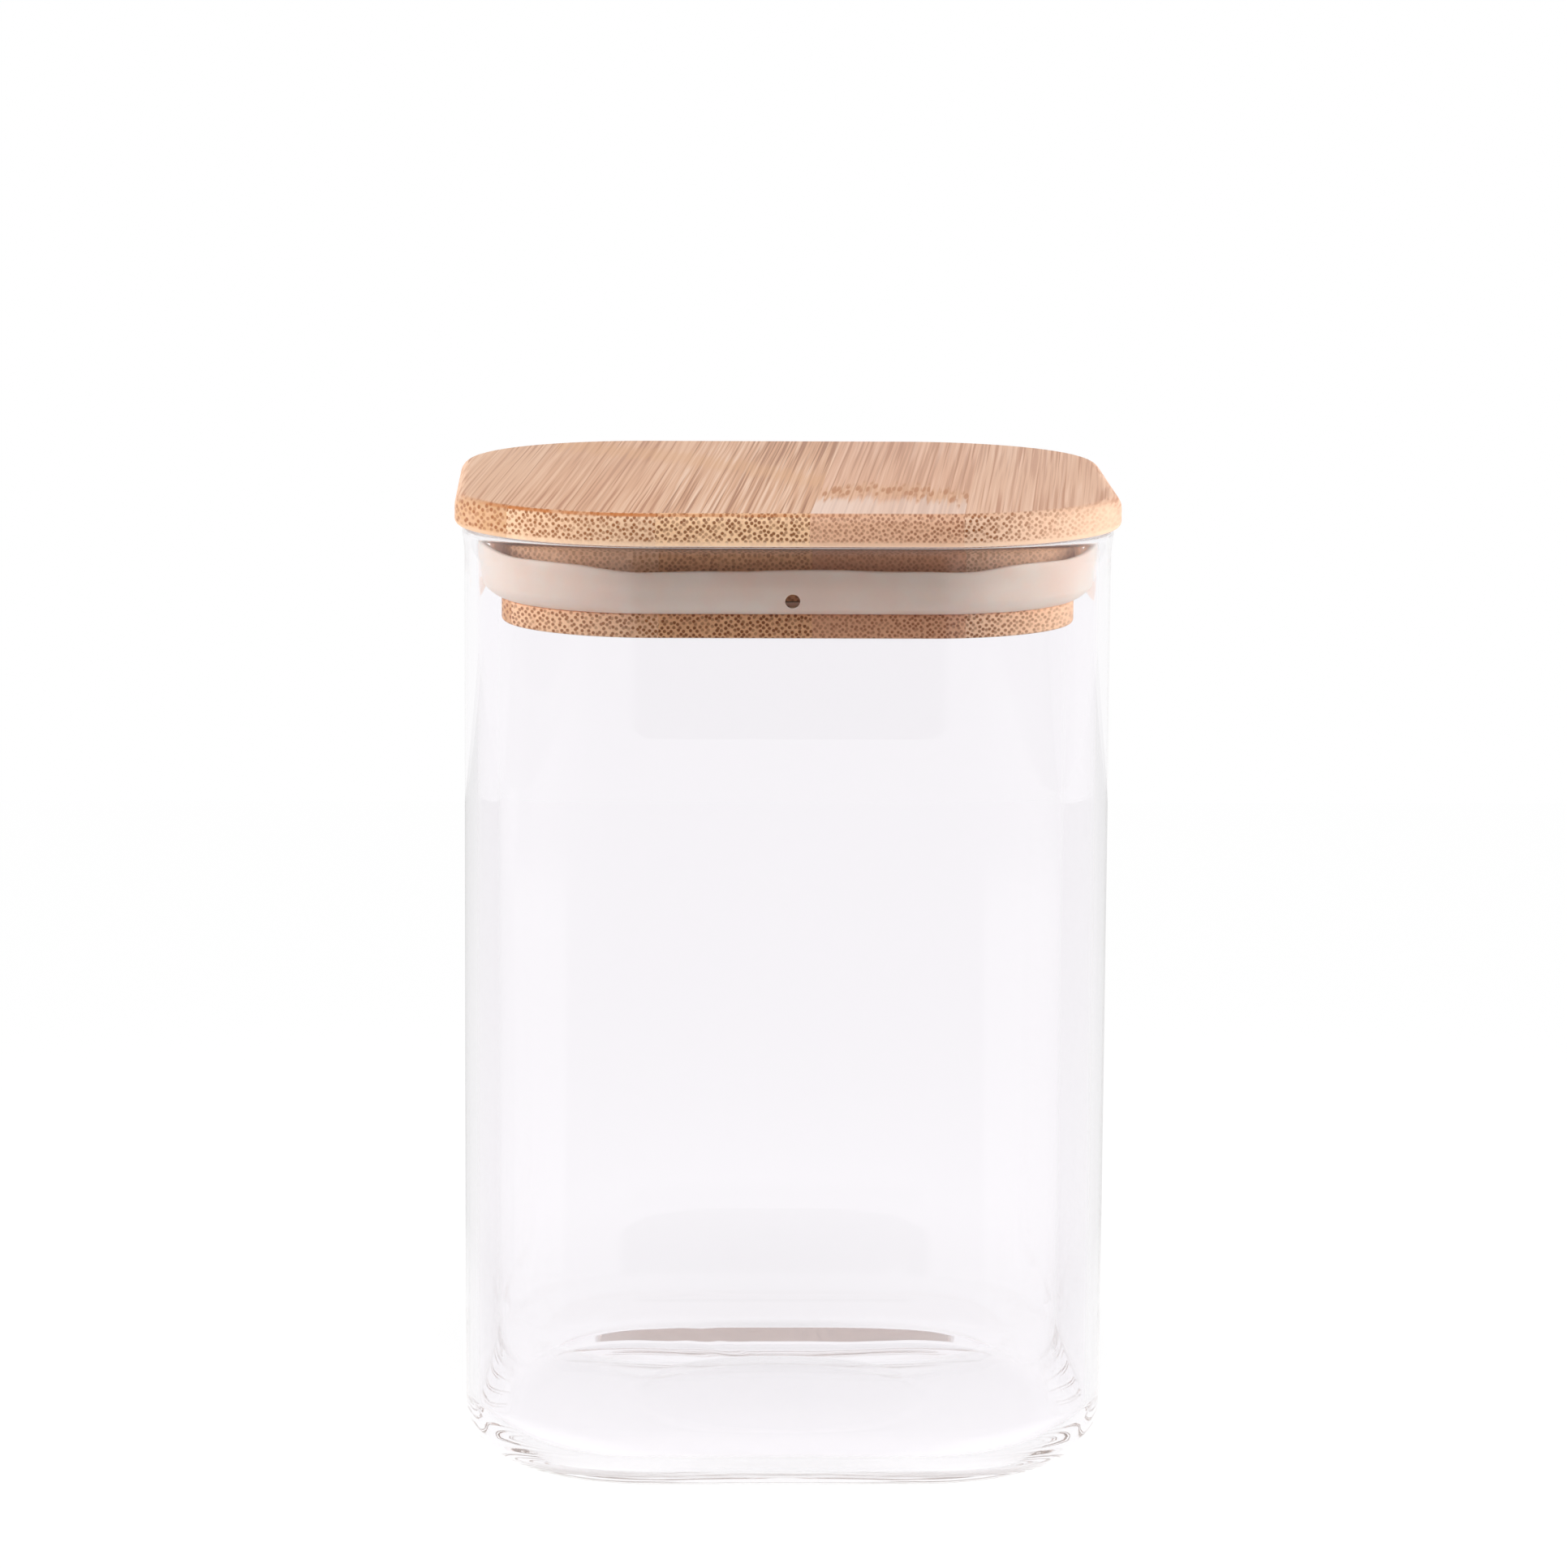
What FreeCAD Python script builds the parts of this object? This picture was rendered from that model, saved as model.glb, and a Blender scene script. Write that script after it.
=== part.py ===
import FreeCAD, Part
import math
import os

# Square glass storage canister with a bamboo lid and a silicone seal, in millimetres.
# The origin is the middle of the face it stands on, +Z is up and the front looks along -Y.

# Glass jar
JAR_WIDTH = 100.0            # outside, flat to flat
JAR_CORNER_RADIUS = 29.0     # outside, seen from above
JAR_HEIGHT = 147.1           # to the top of the rim
WALL = 2.0
BASE_THICKNESS = 3.5
HEEL_RADIUS = 9.0            # outside, where the wall turns into the base
INNER_HEEL_RADIUS = 7.0
PUNT_WIDTH = 66.0            # across the shallow dish under the base
PUNT_RISE = 0.8
RIM_BULGE = 0.4              # how far the fire-polished rim stands proud of the wall
RIM_FLARE_HEIGHT = 3.0       # height over which the wall swells into the rim
RIM_FLATS = 4                # short flats that draw the round of the rim

# Bamboo lid
LID_OVERHANG = 1.5           # past the flat of the glass, each side
BOARD_THICKNESS = 5.0
BOARD_TOP_ROUND = 2.2
BOARD_ROUND_FLATS = 3        # short flats that draw the round along the top edge
BOARD_UNDER_CHAMFER = 0.8
LID_SEAT_GAP = 0.3           # between the rim and the underside of the board
PLUG_GAP = 3.75              # between the plug and the glass, each side
PLUG_DEPTH = 14.7
PLUG_EDGE_CHAMFER = 0.5
LEFT_STAVE_WIDTH = 11.9      # square to the grain, from the lid's left side
RIGHT_STAVE_WIDTH = 21.8     # from its right side
MIDDLE_STAVES = 3            # equal ones, which share what the side staves leave
GRAIN_SKEW = 4.7             # degrees, grain against the lid's sides

# Seal slot in the plug
SLOT_DEPTH = 3.0
SLOT_HEIGHT = 2.0
SLOT_LEDGE = 3.75            # height of the plug's lower edge, under the slot

# Silicone seal
SEAL_GLASS_GAP = 0.3         # between the lip and the glass
SEAL_ROOT_GAP = 0.15         # round the root, inside the slot
SEAL_THICKNESS = 0.9
SEAL_CURVE_HEIGHT = 4.9      # from the slot's floor to where the lip runs straight
SEAL_CURVE_FLATS = 4         # short flats that draw the curve
SEAL_LIP_HEIGHT = 2.1        # straight stretch of the lip
VENT_DIAMETER = 2.3          # breather hole through the front of the seal
VENT_HEIGHT = 2.3            # its middle, above the slot's floor

# Places and fits that follow from the sizes above
JAR_HALF = JAR_WIDTH / 2
INSIDE_HALF = JAR_HALF - WALL
INSIDE_RADIUS = JAR_CORNER_RADIUS - WALL
BOARD_HALF = JAR_HALF + LID_OVERHANG
BOARD_UNDERSIDE = JAR_HEIGHT + LID_SEAT_GAP
PLUG_HALF = INSIDE_HALF - PLUG_GAP
PLUG_RADIUS = INSIDE_RADIUS - PLUG_GAP
PLUG_BOTTOM = BOARD_UNDERSIDE - PLUG_DEPTH
SLOT_FLOOR = PLUG_BOTTOM + SLOT_LEDGE
LIP_HALF = INSIDE_HALF - SEAL_GLASS_GAP
UP = FreeCAD.Vector(0, 0, 1)
SAME_HEIGHT = 1e-6           # edges this close to a height lie at it


def rounded_square(half, radius, z):
    """Closed outline about the Z axis that starts at the middle of its front side."""
    flat = half - radius
    bulge = flat + radius * math.sqrt(0.5)
    outline = []
    start = FreeCAD.Vector(0, -half, z)
    for turn in range(4):
        spin = FreeCAD.Rotation(UP, 90 * turn)
        before = spin.multVec(FreeCAD.Vector(flat, -half, z))
        middle = spin.multVec(FreeCAD.Vector(bulge, -bulge, z))
        after = spin.multVec(FreeCAD.Vector(half, -flat, z))
        outline.append(Part.LineSegment(start, before).toShape())
        outline.append(Part.Arc(before, middle, after).toShape())
        start = after
    outline.append(Part.LineSegment(start, FreeCAD.Vector(0, -half, z)).toShape())
    return Part.Wire(outline)


def rounded_block(half, radius, bottom, top):
    """Upright block with a rounded square outline."""
    block = Part.Face(rounded_square(half, radius, bottom)).extrude(UP * (top - bottom))
    return block.removeSplitter()


def lofted_block(half, radius, levels):
    """Upright block through rounded squares, each drawn in from the outline and at its own height."""
    outlines = [rounded_square(half - inset, radius - inset, z) for inset, z in levels]
    return Part.makeLoft(outlines, True, True).removeSplitter()


def edges_at(solid, z):
    """All edges of a block that lie flat at one height."""
    boxes = [(edge, edge.BoundBox) for edge in solid.Edges]
    return [edge for edge, box in boxes if max(abs(box.ZMin - z), abs(box.ZMax - z)) < SAME_HEIGHT]


def section_point(out, z):
    """Point of a wall section, drawn at the middle of the front side."""
    return FreeCAD.Vector(0, -out, z)


def arc_point(centre_out, centre_z, radius, angle):
    """Point of a wall section on a round, at an angle in degrees, 0 pointing out of the jar."""
    along = math.radians(angle)
    return section_point(centre_out + radius * math.cos(along), centre_z + radius * math.sin(along))


def section_lines(points):
    """Straight edges from each point to the next."""
    return [Part.LineSegment(start, end).toShape() for start, end in zip(points, points[1:])]


def swept_ring(path, section):
    """Solid ring that carries one wall section round a rounded square."""
    return path.makePipeShell([Part.Wire(section)], True, False)


def dish(rise, width, base):
    """Large ball, lying on its side, whose cap of the given width rises from a flat base."""
    radius = (rise ** 2 + (width / 2) ** 2) / (2 * rise)
    centre = FreeCAD.Vector(0, 0, base + rise - radius)
    return Part.makeSphere(radius, centre, FreeCAD.Vector(1, 0, 0), -90, 90, 360)


def rim_ring():
    """Fire-polished rim: the wall flares outwards a little and ends in a full round."""
    round_radius = (WALL + RIM_BULGE) / 2
    round_out = INSIDE_HALF + round_radius
    round_z = JAR_HEIGHT - round_radius
    foot = round_z - RIM_FLARE_HEIGHT
    points = [section_point(INSIDE_HALF, foot), section_point(JAR_HALF, foot)]
    for flat in range(RIM_FLATS + 1):
        points.append(arc_point(round_out, round_z, round_radius, 180 * flat / RIM_FLATS))
    points.append(points[0])
    path = rounded_square(JAR_HALF, JAR_CORNER_RADIUS, foot)
    return swept_ring(path, section_lines(points)), foot


def glass_jar():
    """Blown jar: even walls, rounded heel, thicker base with a shallow punt, swollen rim."""
    rim, rim_foot = rim_ring()
    outside = rounded_block(JAR_HALF, JAR_CORNER_RADIUS, 0, rim_foot)
    outside = outside.makeFillet(HEEL_RADIUS, edges_at(outside, 0))
    inside = rounded_block(INSIDE_HALF, INSIDE_RADIUS, BASE_THICKNESS, rim_foot)
    inside = inside.makeFillet(INNER_HEEL_RADIUS, edges_at(inside, BASE_THICKNESS))
    inside = inside.cut(dish(PUNT_RISE, PUNT_WIDTH, BASE_THICKNESS))
    walls = outside.cut(inside).cut(dish(PUNT_RISE, PUNT_WIDTH, 0))
    return walls.fuse(rim).removeSplitter()


def lid_block():
    """Glued-up bamboo block milled into a board, a plug below it and a slot round the plug."""
    board_top = BOARD_UNDERSIDE + BOARD_THICKNESS
    board_radius = JAR_CORNER_RADIUS + LID_OVERHANG
    levels = [(BOARD_UNDER_CHAMFER, BOARD_UNDERSIDE), (0, BOARD_UNDERSIDE + BOARD_UNDER_CHAMFER)]
    for flat in range(BOARD_ROUND_FLATS + 1):
        along = math.radians(90 * flat / BOARD_ROUND_FLATS)
        drop = BOARD_TOP_ROUND * (1 - math.sin(along))
        levels.append((BOARD_TOP_ROUND * (1 - math.cos(along)), board_top - drop))
    board = lofted_block(BOARD_HALF, board_radius, levels)
    plug = lofted_block(PLUG_HALF, PLUG_RADIUS, [
        (PLUG_EDGE_CHAMFER, PLUG_BOTTOM),
        (0, PLUG_BOTTOM + PLUG_EDGE_CHAMFER),
        (0, BOARD_UNDERSIDE),
    ])
    slot_top = SLOT_FLOOR + SLOT_HEIGHT
    around = rounded_block(BOARD_HALF, board_radius, SLOT_FLOOR, slot_top)
    core = rounded_block(PLUG_HALF - SLOT_DEPTH, PLUG_RADIUS - SLOT_DEPTH, SLOT_FLOOR, slot_top)
    return board.fuse(plug.cut(around.cut(core))).removeSplitter()


def stave_joints():
    """Glue joints across the lid, from left to right, measured square to the grain."""
    left = LEFT_STAVE_WIDTH - BOARD_HALF
    right = BOARD_HALF - RIGHT_STAVE_WIDTH
    width = (right - left) / MIDDLE_STAVES
    return [left + width * step for step in range(MIDDLE_STAVES + 1)]


def lid_staves():
    """The block sawn along its glue joints into the staves that it was made of."""
    block = lid_block()
    reach = 2 * BOARD_HALF
    height = BOARD_UNDERSIDE + BOARD_THICKNESS - PLUG_BOTTOM
    cuts = [-reach] + stave_joints() + [reach]
    staves = []
    for left, right in zip(cuts, cuts[1:]):
        corner = FreeCAD.Vector(left, -reach, PLUG_BOTTOM)
        plank = Part.makeBox(right - left, 2 * reach, height, corner)
        plank.rotate(FreeCAD.Vector(0, 0, 0), UP, -GRAIN_SKEW)
        staves.append(block.common(plank))
    return staves


def silicone_seal():
    """Seal with a square root in the slot and a lip that sweeps out and up to the glass."""
    reach = LIP_HALF - PLUG_HALF
    curve_radius = (reach ** 2 + SEAL_CURVE_HEIGHT ** 2) / (2 * reach)
    curve_out = LIP_HALF - curve_radius
    curve_top = SLOT_FLOOR + SEAL_CURVE_HEIGHT
    curve_start = -math.degrees(math.asin(SEAL_CURVE_HEIGHT / curve_radius))
    lip_in = LIP_HALF - SEAL_THICKNESS
    lip_top = curve_top + SEAL_LIP_HEIGHT
    root_in = PLUG_HALF - SLOT_DEPTH + SEAL_ROOT_GAP
    root_top = SLOT_FLOOR + SLOT_HEIGHT - SEAL_ROOT_GAP
    ledge_radius = curve_radius - SEAL_THICKNESS
    ledge_out = curve_out + math.sqrt(ledge_radius ** 2 - (curve_top - root_top) ** 2)
    points = [section_point(root_in, SLOT_FLOOR)]
    for flat in range(SEAL_CURVE_FLATS + 1):
        angle = curve_start * (1 - flat / SEAL_CURVE_FLATS)
        points.append(arc_point(curve_out, curve_top, curve_radius, angle))
    points.append(section_point(LIP_HALF, lip_top))
    points.append(section_point(lip_in, lip_top))
    points.append(section_point(lip_in, curve_top))
    points.append(section_point(ledge_out, root_top))
    points.append(section_point(root_in, root_top))
    points.append(points[0])
    seal = swept_ring(rounded_square(PLUG_HALF, PLUG_RADIUS, SLOT_FLOOR), section_lines(points))
    vent_start = FreeCAD.Vector(0, -INSIDE_HALF, SLOT_FLOOR + VENT_HEIGHT)
    vent = Part.makeCylinder(VENT_DIAMETER / 2, PLUG_GAP, vent_start, FreeCAD.Vector(0, 1, 0))
    return seal.removeSplitter().cut(vent)


def pieces():
    """Every piece of the canister by name."""
    named = {"glass_jar": glass_jar(), "silicone_seal": silicone_seal()}
    for number, stave in enumerate(lid_staves(), start=1):
        named[f"lid_stave_{number}"] = stave
    return named


os.makedirs("parts", exist_ok=True)
for name, shape in pieces().items():
    shape.exportStep(f"parts/{name}.step")
    print(f"{name}: {len(shape.Solids)} solid, {shape.Volume / 1000:.1f} cm3, valid {shape.isValid()}")
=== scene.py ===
# %% [markdown]
# # A square glass canister with a bamboo lid
#
# This lesson dresses a finished CAD canister: a jar of thin clear glass, a lid glued up from five
# bamboo staves, and a soft silicone seal round the lid's plug. The CAD model already knows where
# every piece sits and how the lid lifts. It is loaded first, as a frame to model around, and the box
# of each of its parts is printed and gives a few of the heights used later.

# %% Load the frame
import math

import bmesh
import bpy
from mathutils import Color, Matrix, Vector


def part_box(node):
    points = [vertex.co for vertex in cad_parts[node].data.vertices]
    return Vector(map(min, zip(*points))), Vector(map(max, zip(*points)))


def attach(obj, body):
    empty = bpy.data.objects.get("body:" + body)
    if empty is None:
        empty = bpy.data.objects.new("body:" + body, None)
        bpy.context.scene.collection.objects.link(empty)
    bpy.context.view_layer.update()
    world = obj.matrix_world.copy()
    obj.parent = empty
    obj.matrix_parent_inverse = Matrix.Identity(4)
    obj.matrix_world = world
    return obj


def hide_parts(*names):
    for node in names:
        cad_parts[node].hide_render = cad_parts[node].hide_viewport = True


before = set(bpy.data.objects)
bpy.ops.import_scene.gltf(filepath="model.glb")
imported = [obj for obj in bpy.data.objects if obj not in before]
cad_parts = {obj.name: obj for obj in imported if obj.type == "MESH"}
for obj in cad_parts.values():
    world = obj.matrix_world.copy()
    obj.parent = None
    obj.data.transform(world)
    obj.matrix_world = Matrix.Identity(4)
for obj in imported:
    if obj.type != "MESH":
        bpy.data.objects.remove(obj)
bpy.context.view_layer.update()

MM = 0.001
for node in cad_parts:
    low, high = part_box(node)
    print(node, [round(x / MM, 2) for x in low], [round(x / MM, 2) for x in high])

# %% [markdown]
# ## The camera
#
# The photograph was taken from a metre away with a long lens, a little above the lid, so the sides
# of the jar run almost parallel. The camera is placed by the angles that a fit to the jar's outline
# gave: a small tilt down, a slight turn, and a fraction of a degree of roll.

# %% Camera
PHOTO_HEIGHT, FOCAL_LENGTH = 1932, 7818.8    # both in pixels of the photograph
SENSOR = 36.0                                # in millimetres, as Blender gives it
CAMERA_DISTANCE, NEAR_CLIP = 1008.5 * MM, 10 * MM
AIM = Vector((0.109 * MM, 0, 103.083 * MM))
TILT, TURN, ROLL = math.radians(9.336), math.radians(1.583), math.radians(0.375)

back = Vector((0, -math.cos(TILT), math.sin(TILT)))
turned = Matrix.Rotation(-TURN, 4, "Z")
tilted = Matrix.Rotation(math.pi / 2 - TILT, 4, "X") @ Matrix.Rotation(ROLL, 4, "Z")
bpy.ops.object.select_all(action="DESELECT")
bpy.ops.object.camera_add()
camera = bpy.context.object
camera.name = "studio_camera"
camera.data.sensor_width = SENSOR
camera.data.lens = FOCAL_LENGTH * SENSOR / PHOTO_HEIGHT
camera.data.clip_start = NEAR_CLIP
camera.matrix_world = turned @ Matrix.Translation(AIM + back * CAMERA_DISTANCE) @ tilted
bpy.context.scene.camera = camera
print("lens", round(camera.data.lens, 1), "mm at", [round(x, 3) for x in camera.location])

# %% [markdown]
# ## Working in edit mode from a script
#
# Every piece here has the same outline, a square with rounded corners, and changes only in how far
# it is drawn in at each height. So three helpers do most of the work. The first selects faces, edges
# or corners by their place, and a few small tests go with it. The second makes a flat plate of that
# outline: a plane whose corners are bevelled round and whose straight sides are divided, so that
# smooth shading stays even along them. The third carries the plate's face on through a list of
# levels, with an inset where the outline shrinks and an extrusion where it does not.

# %% Helpers for selecting
NEAR = 0.002 * MM
STEP_DOWN = 0.04 * MM    # between two rings that are bridged, so that the bridge finds its way round
LEVEL = 0.9              # a face counts as level when its normal points up or down by more than this


def choose(piece, kind, wanted):
    """Select the faces, edges or corners of the piece in edit mode that answer a test."""
    bpy.ops.mesh.select_mode(type=kind)
    bpy.ops.mesh.select_all(action="DESELECT")
    shape = bmesh.from_edit_mesh(piece.data)
    parts = {"VERT": shape.verts, "EDGE": shape.edges, "FACE": shape.faces}[kind]
    count = 0
    for part in parts:
        if wanted(part):
            part.select_set(True)
            count += 1
    bmesh.update_edit_mesh(piece.data)
    return count


def at_height(z):
    """Test for a part whose corners all lie at one height."""
    def test(part):
        corners = part.verts if hasattr(part, "verts") else [part]
        return all(abs(corner.co.z - z) < NEAR for corner in corners)
    return test


def close_to(edge, z):
    """Whether an edge lies at a height or within a bridge's step of it."""
    return all(abs(corner.co.z - z) < 2 * STEP_DOWN for corner in edge.verts)


def open_edge_at(z):
    """Test for an edge of only one face, close to a height."""
    return lambda edge: len(edge.link_faces) < 2 and close_to(edge, z)


def crest_edge_at(z):
    """Test for an edge between a level face and an upright one, close to a height."""
    def test(edge):
        level = [abs(face.normal.z) > LEVEL for face in edge.link_faces]
        return any(level) and not all(level) and close_to(edge, z)
    return test


# %% Helpers for shaping
CORNER_STEPS = 36
SIDE_CUTS = 11
RING = 4 * CORNER_STEPS + 4 * (SIDE_CUTS + 1)
ROUND = 0.5    # the bevel profile that is part of a circle


def rounded_plate(name, half, radius, z):
    """A flat plate, square with round corners, left in edit mode with its face selected."""
    bpy.ops.object.select_all(action="DESELECT")
    bpy.ops.mesh.primitive_plane_add(size=2 * half, location=(0, 0, z))
    plate = bpy.context.object
    plate.name = name
    plate.data.name = name
    bpy.ops.object.transform_apply(location=True)
    bpy.ops.object.mode_set(mode="EDIT")
    bpy.ops.mesh.select_all(action="SELECT")
    bpy.ops.mesh.bevel(offset=radius, affect="VERTICES", segments=CORNER_STEPS, profile=ROUND)
    choose(plate, "EDGE", lambda edge: edge.calc_length() > half - radius)
    bpy.ops.mesh.subdivide(number_cuts=SIDE_CUTS)
    choose(plate, "FACE", at_height(z))
    return plate


def carry_face(levels):
    """Carry the selected level face through (inset, height) levels, from the first to the last."""
    for (inset, z), (next_inset, next_z) in zip(levels, levels[1:]):
        if next_inset - inset > NEAR:
            bpy.ops.mesh.inset(thickness=next_inset - inset, depth=next_z - z)
        else:
            bpy.ops.mesh.extrude_region_move(TRANSFORM_OT_translate={"value": (0, 0, next_z - z)})


def even_steps(start, end, count):
    """Evenly spaced values from start to end, both included."""
    return [start + (end - start) * step / count for step in range(count + 1)]


def ease(piece, wanted, size, steps):
    """Round off the edges that answer a test."""
    choose(piece, "EDGE", wanted)
    bpy.ops.mesh.bevel(offset=size, segments=steps, profile=ROUND)


def open_end(skin, z):
    """Take out the level face at a height, which leaves the skin open there."""
    choose(skin, "FACE", at_height(z))
    bpy.ops.mesh.delete(type="ONLY_FACE")


# %% [markdown]
# The jar and the seal are thin shells, so each is made as two skins, an outer and an inner one, that
# are joined and closed. A shell is finished when every edge has two faces, and the last helper counts
# the edges that don't, next to the piece's size and volume.

# %% Helpers for joining and measuring
DOUBLED = 0.01 * MM
CUBIC_CM = (10 * MM) ** 3


def select_only(active, *others):
    """Select these objects and no others, with the first of them active."""
    bpy.ops.object.select_all(action="DESELECT")
    for piece in (active, *others):
        piece.select_set(True)
    bpy.context.view_layer.objects.active = active


def join_into(piece, other):
    """Join another object into the piece and go on in edit mode."""
    select_only(piece, other)
    bpy.ops.object.join()
    bpy.ops.object.mode_set(mode="EDIT")


def bridge(piece, wanted):
    """Close the gap between two rings of edges that answer a test."""
    choose(piece, "EDGE", wanted)
    bpy.ops.mesh.bridge_edge_loops()


def merge_and_face_out():
    """Merge doubled corners, turn every face of the shell outwards, and leave edit mode."""
    bpy.ops.mesh.select_all(action="SELECT")
    bpy.ops.mesh.remove_doubles(threshold=DOUBLED)
    bpy.ops.mesh.normals_make_consistent(inside=False)
    bpy.ops.object.mode_set(mode="OBJECT")


def round_crest(piece, z, size, steps):
    """Round the two edges of a closed shell's crest, and finish the shell."""
    bpy.ops.mesh.select_all(action="SELECT")
    bpy.ops.mesh.normals_make_consistent(inside=False)
    ease(piece, crest_edge_at(z), size, steps)
    merge_and_face_out()


def report(piece):
    """Print how large a finished piece is and how many triangles it has."""
    corners = [vertex.co for vertex in piece.data.vertices]
    low = [round(min(c[axis] for c in corners) / MM, 2) for axis in range(3)]
    high = [round(max(c[axis] for c in corners) / MM, 2) for axis in range(3)]
    shape = bmesh.new()
    shape.from_mesh(piece.data)
    ragged = sum(1 for edge in shape.edges if not edge.is_manifold)
    volume = round(shape.calc_volume(signed=True) / CUBIC_CM, 2)
    shape.free()
    triangles = sum(len(face.vertices) - 2 for face in piece.data.polygons)
    print(piece.name, low, high, triangles, "triangles,", ragged, "open edges,", volume, "cm3")


# %% [markdown]
# ## The glass jar
#
# The real jar is blown into a mould: a thin wall, a soft heel where the wall turns under, a thicker
# base that is slightly dished, and a rim that the flame has rounded into a bead. A solid with a
# hollow could be cut with a boolean, but glass shows every ripple in its normals, so the outer and
# the inner skin are each drawn down from the rim in clean rings. The round dish in the middle of the
# base is a circle bridged to the square heel.

# %% Jar sizes
JAR_HALF, JAR_CORNER = 50 * MM, 29 * MM
JAR_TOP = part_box("glass_jar")[1].z
WALL, BASE = 2 * MM, 3.5 * MM
HEEL, INNER_HEEL = 9 * MM, 7 * MM
PUNT_RADIUS, PUNT_RISE = 25 * MM, 0.8 * MM
PUNT_MIDDLE = 0.03    # the share of the dish's radius that its last, level face takes
HEEL_STEPS, WALL_STEPS, DISH_STEPS = 24, 24, 10


def heel_levels(start_inset, floor, radius):
    """Levels of a quarter round that turns from an upright wall into a level floor."""
    levels = []
    for angle in even_steps(0, math.pi / 2, HEEL_STEPS):
        drawn_in = radius * (1 - math.cos(angle))
        levels.append((start_inset + drawn_in, floor + radius * (1 - math.sin(angle))))
    return levels


def dish_floor(skin, floor):
    """Replace the selected end face at the floor by a round, shallow dish that rises in the middle."""
    dish_edge = floor + STEP_DOWN
    bpy.ops.mesh.delete(type="ONLY_FACE")
    bpy.ops.mesh.primitive_circle_add(
        vertices=RING, radius=PUNT_RADIUS, fill_type="NGON", location=(0, 0, dish_edge))
    bridge(skin, open_edge_at(floor))
    choose(skin, "FACE", at_height(dish_edge))
    levels = []
    for out in even_steps(1, PUNT_MIDDLE, DISH_STEPS):
        levels.append((PUNT_RADIUS * (1 - out), dish_edge + PUNT_RISE * (1 - out ** 2)))
    carry_face(levels)


print("jar", round(2 * JAR_HALF / MM), "mm wide and", round(JAR_TOP / MM, 1), "mm high")

# %% Jar's outer skin
RIM_BULGE, FLARE, FLARE_STEPS = 0.4 * MM, 4.2 * MM, 4

flare_levels = []
for share in even_steps(0, 1, FLARE_STEPS):
    eased = share * share * (3 - 2 * share)
    flare_levels.append((RIM_BULGE * eased, JAR_TOP - FLARE * share))
outer_wall = [(RIM_BULGE, z) for z in even_steps(JAR_TOP - FLARE, HEEL, WALL_STEPS)]
jar = rounded_plate("glass_jar_clear", JAR_HALF + RIM_BULGE, JAR_CORNER + RIM_BULGE, JAR_TOP)
carry_face(flare_levels + outer_wall[1:] + heel_levels(RIM_BULGE, 0, HEEL)[1:])
dish_floor(jar, 0)
open_end(jar, JAR_TOP)
bpy.ops.object.mode_set(mode="OBJECT")
print("outer skin of", len(jar.data.polygons), "faces")

# %% Jar's inner skin
inner_top = JAR_TOP - STEP_DOWN
inner_wall = [(0, z) for z in even_steps(inner_top, BASE + INNER_HEEL, WALL_STEPS)]
inner = rounded_plate("jar_inner_skin", JAR_HALF - WALL, JAR_CORNER - WALL, inner_top)
carry_face(inner_wall + heel_levels(0, BASE, INNER_HEEL)[1:])
dish_floor(inner, BASE)
open_end(inner, inner_top)
print("inner skin of", len(bmesh.from_edit_mesh(inner.data).faces), "faces")

# %% [markdown]
# Blown glass is never even. In this jar more of it has settled along the back of the base, thickest in
# the middle and thinning out towards the corners. There it works as a lens that mirrors the lid's
# underside in a dark sliver. A wider heel all round would give the sliver too, but it makes the jar
# look heavy. So the inner heel is drawn in at the back alone, in three steps, each narrower than the
# last, and proportional editing fades them out.

# %% Thick glass at the back
THICK_ROWS = [(32, 2.0, 16), (22, 0.9, 18), (11, 0.9, 22)]    # half width, depth and reach in mm
DIAGONAL = math.sqrt(0.5)

mid_heel = at_height(BASE + INNER_HEEL * (1 - DIAGONAL))
back_ring = {}
for corner in bmesh.from_edit_mesh(inner.data).verts:
    if mid_heel(corner) and corner.co.y > 0:
        back_ring[corner.index] = abs(corner.co.x)
for half_width, depth, reach in THICK_ROWS:
    count = choose(inner, "VERT", lambda corner: back_ring.get(corner.index, JAR_HALF) < half_width * MM)
    bpy.ops.transform.translate(
        value=(0, -depth * DIAGONAL * MM, depth * DIAGONAL * MM), use_proportional_edit=True,
        use_proportional_connected=True, proportional_edit_falloff="SMOOTH", proportional_size=reach * MM)
    print("drew", count, "corners of the inner heel in by", depth, "mm")
bpy.ops.object.mode_set(mode="OBJECT")

# %% [markdown]
# The rim is as thick as the wall and its swelling together. A level bridge between the two skins gives
# its width, and a bevel on the two edges of that bridge gives the bead. The whole jar is then shaded
# smooth, because glass has no sharp edge.

# %% Jar rim
BEAD_ROUND, BEAD_STEPS = 0.36 * (WALL + RIM_BULGE), 8

join_into(jar, inner)
bridge(jar, open_edge_at(JAR_TOP))
round_crest(jar, JAR_TOP, BEAD_ROUND, BEAD_STEPS)
bpy.ops.object.shade_smooth()
report(jar)

# %% [markdown]
# ## The bamboo lid
#
# The lid is one block glued up from bamboo staves and then milled: a board with a rounded top edge,
# a plug under it, and a slot round the plug for the seal. Five separate staves with matching curves
# would be slow to model, so the block is made whole, as it is at the bench, and sawn up afterwards.
# The plug's foot below the slot is a plate of its own, because its upper edge is eased as well and
# leaves a fine line of shade under the seal.

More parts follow.
